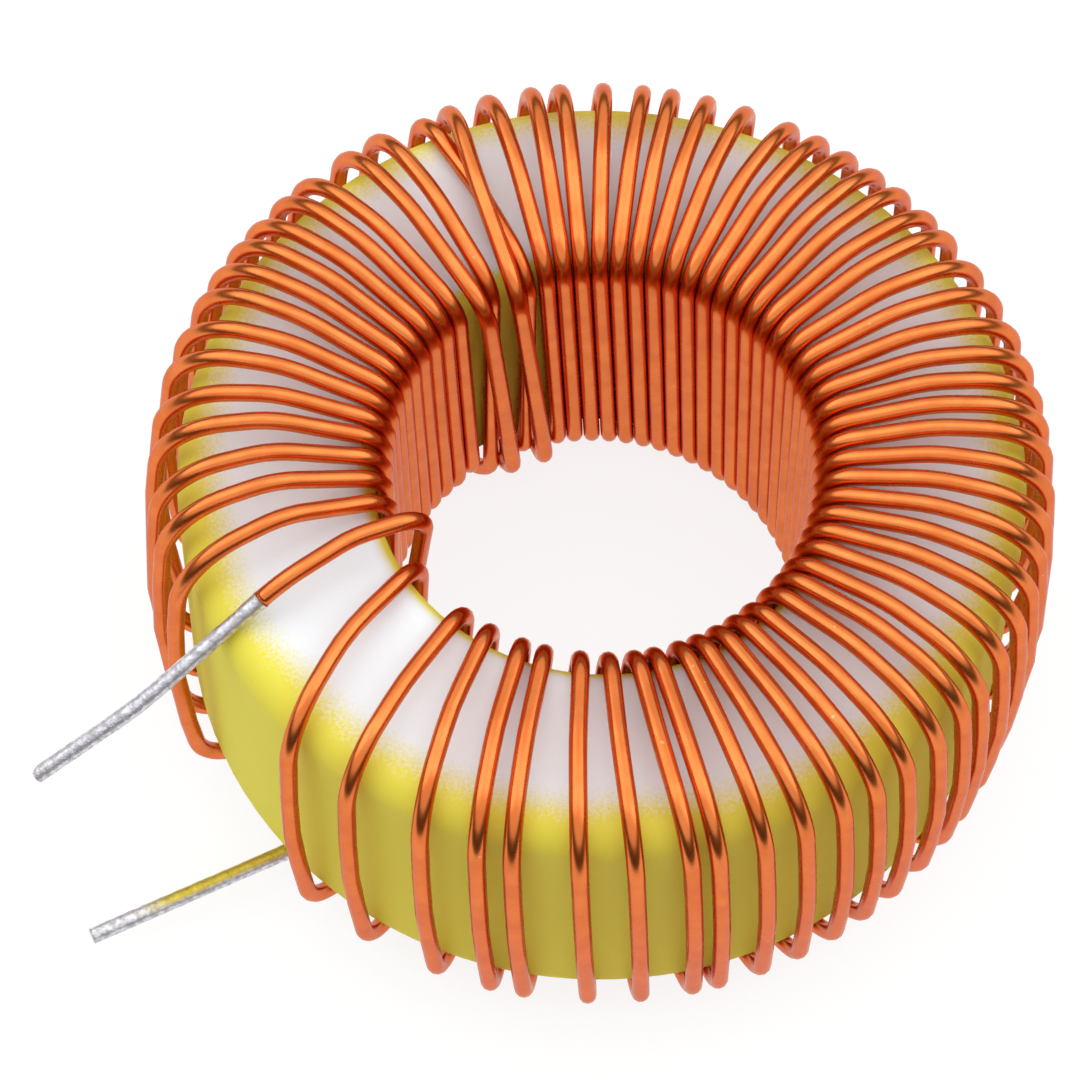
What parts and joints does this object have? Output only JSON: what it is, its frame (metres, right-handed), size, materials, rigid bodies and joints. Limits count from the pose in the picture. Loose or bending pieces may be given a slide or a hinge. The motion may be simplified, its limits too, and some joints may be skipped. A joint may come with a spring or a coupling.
{
  "type": "toroidal inductor",
  "caption": "Toroidal inductor of enamelled copper wire wound by hand on a coated iron-powder ring, with two short tinned leads.",
  "frame": {"origin": "centre of the ring, at half its height", "axes": "+Z along the ring's axis, out of its white face; the two leads leave towards -X and a little towards -Y"},
  "size_m": [0.032, 0.0293, 0.0146],
  "materials": {
    "core_coat": "semi-gloss yellow powder coat with one face sprayed white",
    "enamelled_wire": "glossy clear enamel over copper",
    "solder_tin": "satin solder, slightly grainy"
  },
  "bodies": {
    "root": {"core": "core_coat", "winding": "enamelled_wire", "upper_lead_tip": "solder_tin", "lower_lead_tip": "solder_tin"}
  },
  "joints": []
}
